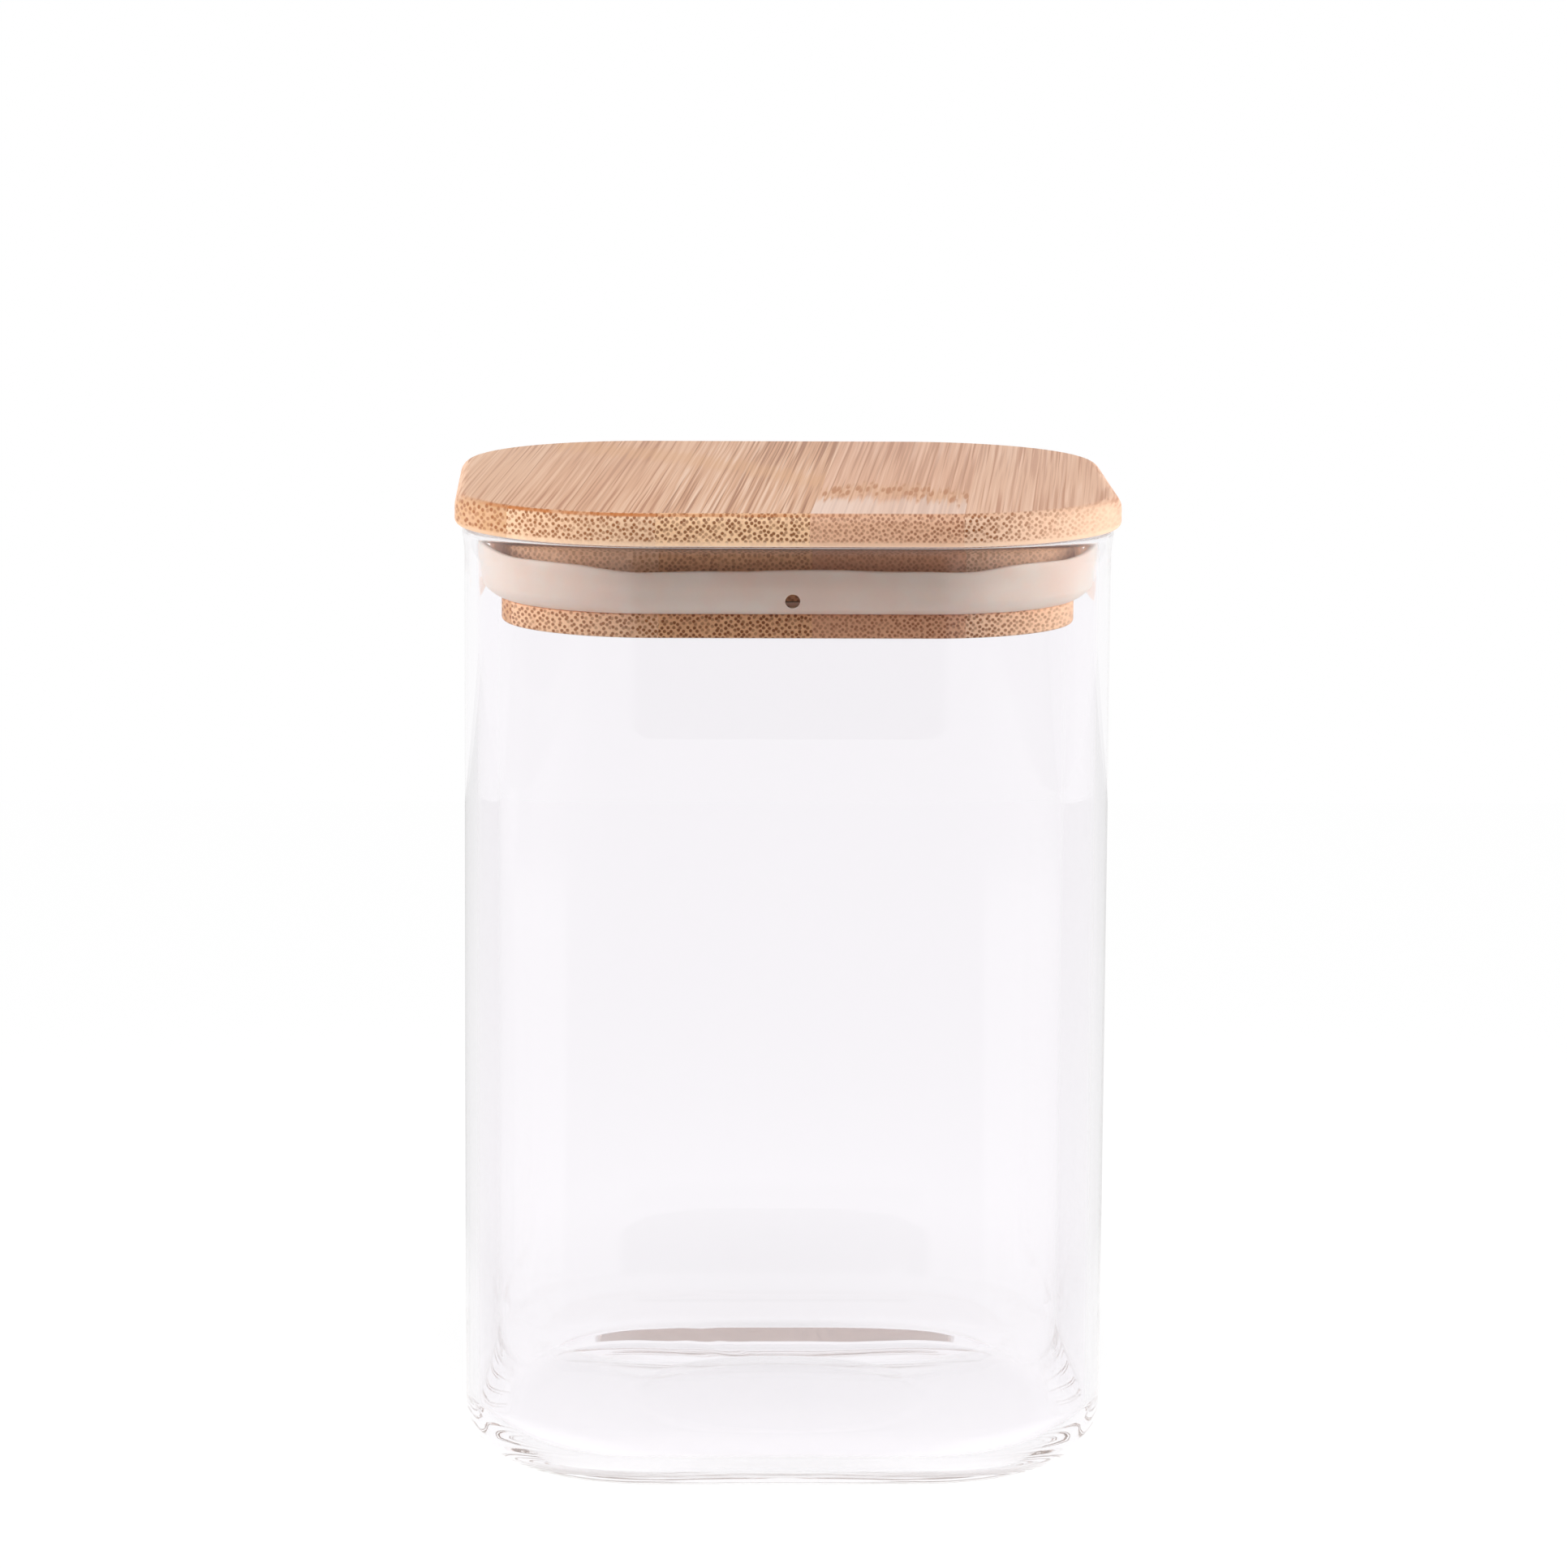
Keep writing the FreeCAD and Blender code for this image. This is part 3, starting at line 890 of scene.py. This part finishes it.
crest = times(grain, ramp(grain, tip, *CREST_BEGINS), ramp(grain, tip, *CREST_ENDS))
oil = times(grain, crest, given["Edge Oil"], ramp(grain, broad, *OIL_PATCHES), end_cut)
fill(grain, put_out["Color"], blend_colour(grain, oil, colour, EDGE_OIL))
fill(grain, put_out["Roughness"], ramp(grain, tone, *SATIN))
fill(grain, put_out["Height"], sums(grain, "SUBTRACT", tone, times(grain, dot, end_cut, DOT_SINK)))
print(len(grain.nodes), "nodes in the grain")

# %% [markdown]
# Each stave comes from another cane. The first is orange with large soft flecks, the second pale with
# clear brown dots, the third darker, the fourth fine and pinkish with the knuckle across it, and the
# last is dense at its left side and almost plain at its right. Colours are as read off a screen, apart
# from the plug's painted light and shade, which multiplies the colour that is there: darker and warmer
# on the middle staves, paler at the ends.

# %% Stave looks
# the plug's tone in each look is painted shade on the middle staves and painted light at the ends
STAVE_LOOKS = [
    {"Dot Spacing": 0.78 * MM, "Dot Size": 0.48, "Left Dots": 0.8, "Right Dots": 0.95, "Edge Oil": 0.6,
     "Ground": (226, 181, 148), "Pale Line": (238, 200, 172), "Dark Line": (196, 142, 110),
     "End Pale": (215, 167, 125), "End Dark": (160, 97, 56), "Plug Painted Light And Shade": (1.03, 0.98, 0.92)},
    {"Dot Spacing": 0.7 * MM, "Dot Size": 0.49, "Left Dots": 0.95, "Right Dots": 1.0, "Edge Oil": 0.9,
     "Ground": (220, 171, 137), "Pale Line": (236, 195, 165), "Dark Line": (186, 130, 98),
     "End Pale": (248, 207, 171), "End Dark": (160, 103, 65), "Plug Painted Light And Shade": (1.03, 0.98, 0.92),
     "Knuckle Place": 29 * MM, "Knuckle Middle": -24.8 * MM, "Knuckle Tilt": -0.8, "Knuckle Stain": 0.4},
    {"Dot Spacing": 0.68 * MM, "Dot Size": 0.5, "Left Dots": 1.0, "Right Dots": 1.1, "Edge Oil": 0.5,
     "Ground": (219, 169, 134), "Pale Line": (242, 206, 180), "Dark Line": (170, 116, 84),
     "End Pale": (255, 211, 168), "End Dark": (149, 96, 60), "Plug Painted Light And Shade": (0.9, 0.78, 0.69),
     "Knuckle Place": 9 * MM, "Knuckle Middle": -7 * MM, "Knuckle Tilt": -1.3, "Knuckle Stain": 0.4},
    {"Dot Spacing": 0.62 * MM, "Dot Size": 0.5, "Left Dots": 0.7, "Right Dots": 1.0, "Edge Oil": 0.2,
     "Ground": (223, 174, 143), "Pale Line": (236, 194, 168), "Dark Line": (190, 136, 105),
     "End Pale": (237, 187, 154), "End Dark": (162, 107, 77), "Plug Painted Light And Shade": (0.94, 0.85, 0.77),
     "Knuckle Place": -17 * MM, "Knuckle Middle": 16 * MM, "Knuckle Bow": -80.0,
     "Knuckle Stain": 0.35, "Knuckle Marks": 0.85},
    {"Dot Spacing": 0.64 * MM, "Dot Size": 0.5, "Left Dots": 1.1, "Right Dots": 0.1, "Edge Oil": 0.2,
     "Ground": (226, 181, 151), "Pale Line": (238, 198, 172), "Dark Line": (194, 140, 110),
     "End Pale": (239, 199, 170), "End Dark": (144, 88, 52), "Plug Painted Light And Shade": (1.08, 1.06, 0.98)},
]
for number, look in enumerate(STAVE_LOOKS, start=1):
    print("stave", number, "has dots", round(look["Dot Spacing"] / MM, 2), "mm apart")

# %% Bamboo staves
EDGES = [-BOARD_HALF, *JOINTS, BOARD_HALF]
STAVE_SHIFT = (0.37, 1.3, 0.11)    # metres in the pattern from one stave to the next
RELIEF, RELIEF_DEPTH = 0.35, 0.12 * MM
COAT_ROUGHNESS, WOOD_SHEEN = 0.5, 0.03

for number, (stave, look) in enumerate(zip(staves, STAVE_LOOKS)):
    bamboo, tree, shader = new_material(f"bamboo_stave_{number + 1}_satin")
    pattern = tree.nodes.new("ShaderNodeGroup")
    pattern.node_tree = grain
    pattern.inputs["Shift"].default_value = [number * step for step in STAVE_SHIFT]
    pattern.inputs["Left Edge"].default_value = EDGES[number]
    pattern.inputs["Right Edge"].default_value = EDGES[number + 1]
    for name, value in look.items():
        if name == "Plug Painted Light And Shade":
            value = (*value, 1)
        elif isinstance(value, tuple):
            value = screen_colour(*value)
        pattern.inputs[name].default_value = value
    fill(tree, shader.inputs["Base Color"], pattern.outputs["Color"])
    fill(tree, shader.inputs["Roughness"], pattern.outputs["Roughness"])
    fill(tree, shader.inputs["Coat Weight"], pattern.outputs["Coat"])
    relief = add(tree, "Bump", Strength=RELIEF, Distance=RELIEF_DEPTH, Height=pattern.outputs["Height"])
    fill(tree, shader.inputs["Normal"], relief.outputs["Normal"])
    shader.inputs["Coat Roughness"].default_value = COAT_ROUGHNESS
    shader.inputs["Specular IOR Level"].default_value = WOOD_SHEEN
    dress(stave, bamboo)
    print(stave.name, "wears", bamboo.name)

# %% [markdown]
# ## Glass
#
# Clear glass has hardly a colour of its own at this thickness: what shows is the room, bent through
# two walls and mirrored faintly in four surfaces. A transmissive shader does that, with the least
# tint of lavender. Lamps would throw a hard black shadow through it, so for shadow rays a transparent
# shader is mixed in and the light passes straight on to the seal, the plug and the table.

# %% Glass finish
GLASS_TINT, GLASS_INDEX = (0.98, 0.968, 0.984, 1), 1.47

glass, tree, shader = new_material("clear_glass_polished")
shader.inputs["Base Color"].default_value = GLASS_TINT
shader.inputs["Roughness"].default_value = 0
shader.inputs["IOR"].default_value = GLASS_INDEX
shader.inputs["Transmission Weight"].default_value = 1
rays = add(tree, "LightPath").outputs
let_through = add(tree, "BsdfTransparent")
either = add(tree, "MixShader", Fac=rays["Is Shadow Ray"])
fill(tree, either.inputs[1], shader.outputs["BSDF"])
fill(tree, either.inputs[2], let_through.outputs["BSDF"])
fill(tree, tree.nodes["Material Output"].inputs["Surface"], either.outputs["Shader"])
dress(jar, glass)
print(glass.name, "index", GLASS_INDEX)

# %% [markdown]
# ## Silicone
#
# The seal is milky: light goes in, scatters over a fraction of a millimetre and comes out a little
# warmer. Subsurface scattering does that without making the ring see-through, and a faint cloud in the
# tone and the gloss keeps it from looking like paint.

# %% Silicone finish
MILK, CREAM = screen_colour(254, 221, 206), screen_colour(255, 229, 216)
CLOUD_SCALE, CLOUD_DETAIL, CLOUD_ROUGHNESS = 90, 3, 0.6
CLOUD_EDGE, SEAL_SATIN = (0.35, 0.65), (0.3, 0.7, 0.36, 0.48)
SCATTER, SCATTER_COLOURS = 0.2 * MM, (1, 0.8, 0.7)
SEAL_SHEEN = 0.3

silicone, tree, shader = new_material("silicone_translucent")
spot = add(tree, "TexCoord").outputs["Object"]
cloud = add(tree, "TexNoise", Vector=spot, Scale=CLOUD_SCALE, Detail=CLOUD_DETAIL,
            Roughness=CLOUD_ROUGHNESS).outputs["Fac"]
fill(tree, shader.inputs["Base Color"], blend_colour(tree, ramp(tree, cloud, *CLOUD_EDGE), MILK, CREAM))
fill(tree, shader.inputs["Roughness"], ramp(tree, cloud, *SEAL_SATIN))
shader.inputs["Subsurface Weight"].default_value = 1
shader.inputs["Subsurface Radius"].default_value = SCATTER_COLOURS
shader.inputs["Subsurface Scale"].default_value = SCATTER
shader.inputs["Specular IOR Level"].default_value = SEAL_SHEEN
dress(seal, silicone)
print(silicone.name, "scatters over", round(SCATTER / MM, 1), "mm")

# %% [markdown]
# ## Which piece rides on what
#
# The jar stands still and everything on the lid lifts with it. Each piece takes the place of one CAD
# node, which stays hidden for collisions.

# %% Ride
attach(jar, "jar")
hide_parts("glass_jar")
for number, stave in enumerate(staves, start=1):
    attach(stave, "lid")
    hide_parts(f"lid_stave_{number}")
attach(seal, "lid")
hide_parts("silicone_seal")
print("the lid carries", len(staves), "staves and the seal")

# %% [markdown]
# ## The table
#
# The photograph has a white table that fades into a white room. Lighting a real white table until it
# clips would burn out the wood. So the table is grey paper with a glow of its own, and how much of the
# glow a ray sees depends on the way it came: straight or through clear glass, mirrored inside the
# glass, mirrored on its outside, or only as light for the pieces. A real studio does the same with
# cards and flags, placed where one of these ways shows them and the others don't.

# %% Kinds of rays
def ray_kinds(tree):
    """Masks of rays that glanced off the outside, that met a mirror inside the glass, and that look."""
    rays = add(tree, "LightPath").outputs
    unscattered = sums(tree, "LESS_THAN", rays["Diffuse Depth"], 0.5)
    bent = times(tree, rays["Is Transmission Ray"], unscattered)
    glanced = times(tree, rays["Is Glossy Ray"], sums(tree, "SUBTRACT", unscattered, bent))
    inner = times(tree, bent, sums(tree, "GREATER_THAN", rays["Glossy Depth"], 0.5))
    through = sums(tree, "SUBTRACT", bent, inner)
    return glanced, inner, sums(tree, "MAXIMUM", rays["Is Camera Ray"], through)


# %% Table
TABLE_SIZE, TABLE_MIDDLE, TABLE_DROP = 1.4, -0.1, 0.2 * MM
PAPER_ROUGHNESS = 0.9

bpy.ops.object.select_all(action="DESELECT")
bpy.ops.mesh.primitive_plane_add(size=TABLE_SIZE, location=(0, TABLE_MIDDLE, -TABLE_DROP))
table = bpy.context.object
table.name = "studio_table"
bpy.ops.object.transform_apply(location=True)
paper, tree, shader = new_material("white_paper")
shader.inputs["Roughness"].default_value = PAPER_ROUGHNESS
shader.inputs["Specular IOR Level"].default_value = 0
shader.inputs["Emission Color"].default_value = (1, 1, 1, 1)
glanced, inner_ray, looked_at = ray_kinds(tree)
print("table", [round(x, 2) for x in table.dimensions])

# %% [markdown]
# The outside of the glass mirrors two white sheets, one at each side, which give the jar its soft
# streaks. They are drawn on the table as two sectors, seen from the corner of the glass that mirrors
# them. Planes of their own would do too, but they would also show through the glass.

# %% White sheets
SHEET_LEFT, SHEET_RIGHT = (53, 95), (36, 95)    # degrees away from the camera
SHEET_SOFT = 0.03                               # radians, to either side of a sheet's edge
SHEET_FULL, SHEET_END = 0.528, 0.66             # metres from the jar
MIRROR_X, MIRROR_Y = 38 * MM, -44 * MM          # the place in the glass that mirrors the sheets


def between(tree, value, low, high, soft):
    """A mask that is 1 from low to high, with soft edges."""
    past_low = ramp(tree, value, low - soft, low + soft)
    return times(tree, past_low, ramp(tree, value, high + soft, high - soft))


def side_sheets(tree, sideways, forward):
    """A mask of the two white sheets, from how far a point lies sideways and forward."""
    angle = sums(tree, "ARCTAN2", sums(tree, "ABSOLUTE", sideways), forward)
    on_right = sums(tree, "GREATER_THAN", sideways, 0.0)
    masks = []
    for sheet in (SHEET_LEFT, SHEET_RIGHT):
        low, high = [math.radians(degrees) for degrees in sheet]
        masks.append(between(tree, angle, low, high, SHEET_SOFT))
    return blend_value(tree, on_right, *masks)


spot = add(tree, "SeparateXYZ", Vector=add(tree, "TexCoord").outputs["Object"]).outputs
beside = sums(tree, "SUBTRACT", sums(tree, "ABSOLUTE", spot["X"]), MIRROR_X)
sideways = times(tree, sums(tree, "SIGN", spot["X"]), beside)
forward = sums(tree, "SUBTRACT", MIRROR_Y, spot["Y"])
squares = sums(tree, "ADD", times(tree, spot["X"], spot["X"]), times(tree, spot["Y"], spot["Y"]))
reach = sums(tree, "SQRT", squares)
sheets = times(tree, side_sheets(tree, sideways, forward), ramp(tree, reach, SHEET_END, SHEET_FULL))
print("sheets from", SHEET_LEFT[0], "and", SHEET_RIGHT[0], "degrees off the camera")

# %% [markdown]
# Close to the jar and behind it the outside of the glass mirrors bright paper as well. Under the jar
# the glow is a little weaker, for the shade of its foot, and far away the paper turns plain white and
# meets the room.

# %% Table's glow
PAPER, FAR_PAPER, FAR_GLOW = 0.25, 0.02, 0.98
PAPER_GLOW, INNER_GLOW, LIGHT_GLOW, SHEET_GLOW = 0.78, 0.7, 0.92, 0.62
NEAR_GLOW, NEAR_FULL, NEAR_END = 0.85, 0.06, 0.3       # the last two in metres from the jar's middle
BACK_GLOW, BACK_START, BACK_FULL = 0.5, -0.06, 0.0     # the last two in metres towards the back
FADE_START, FADE_END = 0.12, 0.4                       # metres from the jar's middle
FOOT_SHADE, FOOT_HALF = 0.14, 0.8 * JAR_HALF

near_glow = ramp(tree, reach, NEAR_END, NEAR_FULL, 0, NEAR_GLOW)
back_glow = ramp(tree, spot["Y"], BACK_START, BACK_FULL, 0, BACK_GLOW)
glanced_glow = sums(tree, "MAXIMUM", near_glow, back_glow)
glanced_glow = sums(tree, "MAXIMUM", times(tree, sheets, SHEET_GLOW), glanced_glow)
glow = blend_value(tree, glanced, LIGHT_GLOW, glanced_glow)
glow = blend_value(tree, inner_ray, glow, INNER_GLOW)
glow = blend_value(tree, looked_at, glow, PAPER_GLOW)
glow = times(tree, glow, ramp(tree, reach, FOOT_HALF, JAR_HALF, 1 - FOOT_SHADE, 1))
far = times(tree, looked_at, ramp(tree, reach, FADE_START, FADE_END))
grey, far_grey = [(share, share, share, 1) for share in (PAPER, FAR_PAPER)]
fill(tree, shader.inputs["Base Color"], blend_colour(tree, far, grey, far_grey))
fill(tree, shader.inputs["Emission Strength"], blend_value(tree, far, glow, FAR_GLOW))
paper.cycles.emission_sampling = "NONE"
dress(table, paper)
print(paper.name, "with", len(tree.nodes), "nodes")

# %% [markdown]
# ## The room
#
# The room is white wherever the camera looks, straight or through the glass. What the outside of the
# glass mirrors is greyer towards the camera, where a studio is dark, and its ceiling is dim. Rays that
# were mirrored inside the glass see white too, except straight towards the camera, and that leaves the
# thin dark lines along the heel and the sides. A picture of a studio all round would do this as well,
# but a few smooth steps of the direction are easier to tune.

# %% Room
FRONT_MIRRORED, BACK_MIRRORED, FRONT_LIGHT, BACK_LIGHT = 0.12, 0.95, 0.14, 0.5
FRONT_END, BACK_BEGIN = -0.3, 0.35             # how far a direction points to the back
INNER_WHITE = 1.0
INNER_DARK, INNER_CLEAR = -0.985, -0.95        # how far a direction points to the back
CEILING = (0.3, 0.27, 0.26, 1)
CEILING_BEGIN, CEILING_FULL = 0.3, 0.55        # how far a direction points up

world = bpy.data.worlds.new("white_studio")
bpy.context.scene.world = world
world.use_nodes = True
tree = world.node_tree
glanced, inner_ray, looked_at = ray_kinds(tree)
toward = add(tree, "SeparateXYZ", Vector=add(tree, "TexCoord").outputs["Generated"]).outputs
overhead = ramp(tree, toward["Z"], CEILING_BEGIN, CEILING_FULL)
light = ramp(tree, toward["Y"], FRONT_END, BACK_BEGIN, FRONT_LIGHT, BACK_LIGHT)
mirror = ramp(tree, toward["Y"], FRONT_END, BACK_BEGIN, FRONT_MIRRORED, BACK_MIRRORED)
inside = ramp(tree, toward["Y"], INNER_DARK, INNER_CLEAR, FRONT_MIRRORED, INNER_WHITE)
room = blend_colour(tree, glanced, light, blend_colour(tree, overhead, mirror, CEILING))
room = blend_colour(tree, inner_ray, room, inside)
room = blend_colour(tree, looked_at, room, (1, 1, 1, 1))
fill(tree, tree.nodes["Background"].inputs["Color"], room)
print(world.name, "with", len(tree.nodes), "nodes")

# %% [markdown]
# ## The lamps
#
# Two large soft lamps stand at the sides and one hangs in front, high enough that the lid shades its
# own plug. Each is set by how bright its face is, so that its size can be changed without its glare.
# Only the front lamp may be mirrored, which puts a sheen on the lid.

# %% Lamps
LAMP_AIM = Vector((0, 0, 0.1))


def softbox(name, place, width, height, radiance, mirrored=False):
    """A soft rectangular lamp that faces the lid, as bright as written over all of its face."""
    bpy.ops.object.light_add(type="AREA", location=place)
    lamp = bpy.context.object
    lamp.name = name
    lamp.data.shape = "RECTANGLE"
    lamp.data.size = width
    lamp.data.size_y = height
    lamp.data.energy = radiance * math.pi * width * height
    lamp.rotation_euler = (LAMP_AIM - Vector(place)).to_track_quat("-Z", "Y").to_euler()
    lamp.visible_camera = False
    lamp.visible_transmission = False
    lamp.visible_glossy = mirrored
    print(name, "at", place, "radiance", radiance)


softbox("softbox_front", (0, -0.42, 1.35), 0.9, 0.6, 5.0, True)
softbox("softbox_left", (-1.1, -0.1, 0.32), 0.55, 0.64, 8.4)
softbox("softbox_right", (1.1, -0.1, 0.32), 0.55, 0.64, 9.6)

# %% [markdown]
# A ray that gets into the glass wall can run up or down inside it, mirrored hundreds of times before
# it leaves again. Such rays go black when Blender stops counting, and they would line the sides of the
# jar with soot, so glass is given a thousand bounces. Colours are shown as they are, without a film
# look.

# %% Bounces and colours
BOUNCES = 1000

bpy.context.scene.view_settings.view_transform = "Standard"
cycles = bpy.context.scene.cycles
cycles.max_bounces = BOUNCES
cycles.glossy_bounces = BOUNCES
cycles.transmission_bounces = BOUNCES
print("up to", cycles.transmission_bounces, "bounces in glass")
